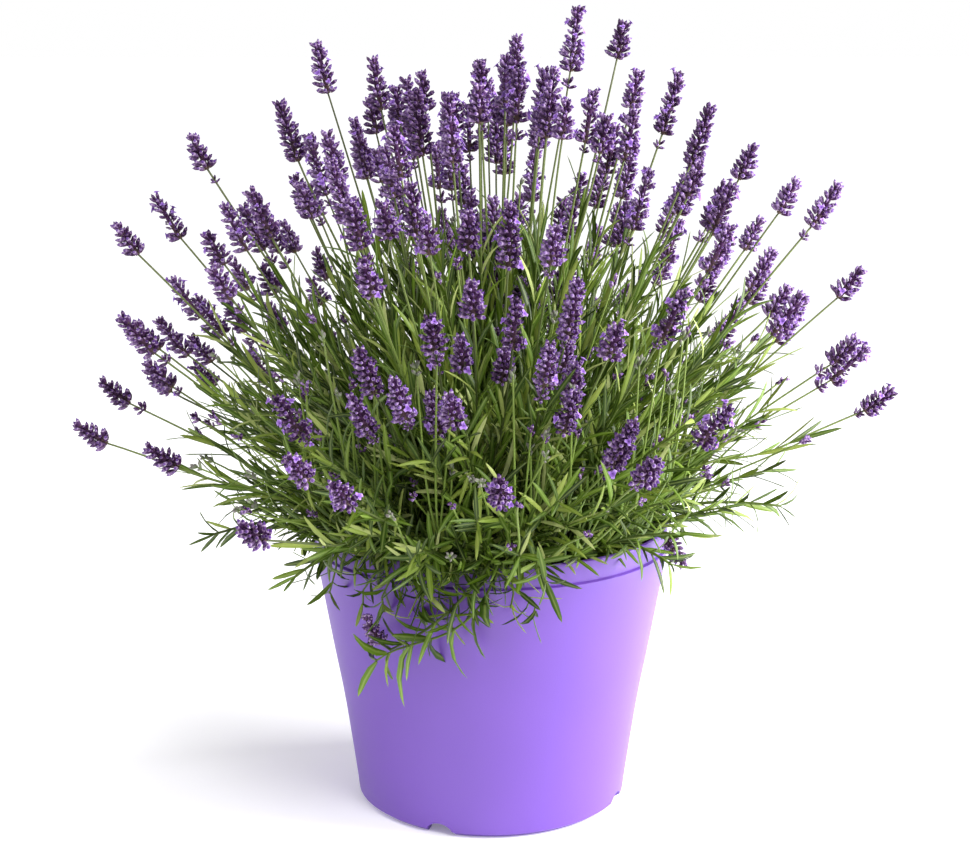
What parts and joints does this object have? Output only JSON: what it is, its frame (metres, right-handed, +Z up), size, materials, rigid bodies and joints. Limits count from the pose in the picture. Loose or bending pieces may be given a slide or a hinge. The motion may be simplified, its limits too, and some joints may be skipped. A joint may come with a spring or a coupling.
{
  "type": "potted lavender",
  "caption": "Bushy flowering lavender with violet flower heads on thin green stems and narrow leaves, standing in a tapered purple plastic nursery pot filled with soil.",
  "frame": {"origin": "on the pot's axis, at the level that the pot's foot stands on", "axes": "+Z up along the pot's axis, -Y towards the front that the picture shows, +X to the right of it"},
  "size_m": [0.537, 0.5028, 0.513],
  "materials": {
    "pot_plastic": "semi-matte moulded polypropylene, purple",
    "potting_soil": "matte, dark crumbly peat and composted bark",
    "lavender_bloom": "matte, violet calyces and lilac florets on olive-green stems",
    "lavender_leaf": "matte, narrow green to grey-green leaves"
  },
  "bodies": {
    "root": {"pot": "pot_plastic", "soil": "potting_soil", "flowering_branch_01": "lavender_bloom", "flowering_branch_02": "lavender_bloom", "flowering_branch_03": "lavender_bloom", "flowering_branch_04": "lavender_bloom", "flowering_branch_05": "lavender_bloom", "flowering_branch_06": "lavender_bloom", "flowering_branch_07": "lavender_bloom", "flowering_branch_08": "lavender_bloom", "flowering_branch_09": "lavender_bloom", "flowering_branch_10": "lavender_bloom", "flowering_branch_11": "lavender_bloom", "flowering_branch_12": "lavender_bloom", "flowering_branch_13": "lavender_bloom", "flowering_branch_14": "lavender_bloom", "flowering_branch_15": "lavender_bloom", "flowering_branch_16": "lavender_bloom", "flowering_branch_17": "lavender_bloom", "flowering_branch_18": "lavender_bloom", "flowering_branch_19": "lavender_bloom", "flowering_branch_20": "lavender_bloom", "flowering_branch_21": "lavender_bloom", "flowering_branch_22": "lavender_bloom", "flowering_branch_23": "lavender_bloom", "flowering_branch_24": "lavender_bloom", "flowering_branch_25": "lavender_bloom", "flowering_branch_26": "lavender_bloom", "flowering_branch_27": "lavender_bloom", "flowering_branch_28": "lavender_bloom", "leafy_shoot_01": "lavender_leaf", "leafy_shoot_02": "lavender_leaf", "leafy_shoot_03": "lavender_leaf", "leafy_shoot_04": "lavender_leaf", "leafy_shoot_05": "lavender_leaf", "leafy_shoot_06": "lavender_leaf", "leafy_shoot_07": "lavender_leaf", "leafy_shoot_08": "lavender_leaf", "leafy_shoot_09": "lavender_leaf", "leafy_shoot_10": "lavender_leaf", "leafy_shoot_11": "lavender_leaf", "leafy_shoot_12": "lavender_leaf", "trailing_shoot_01": "lavender_bloom", "trailing_shoot_02": "lavender_bloom"}
  },
  "joints": []
}
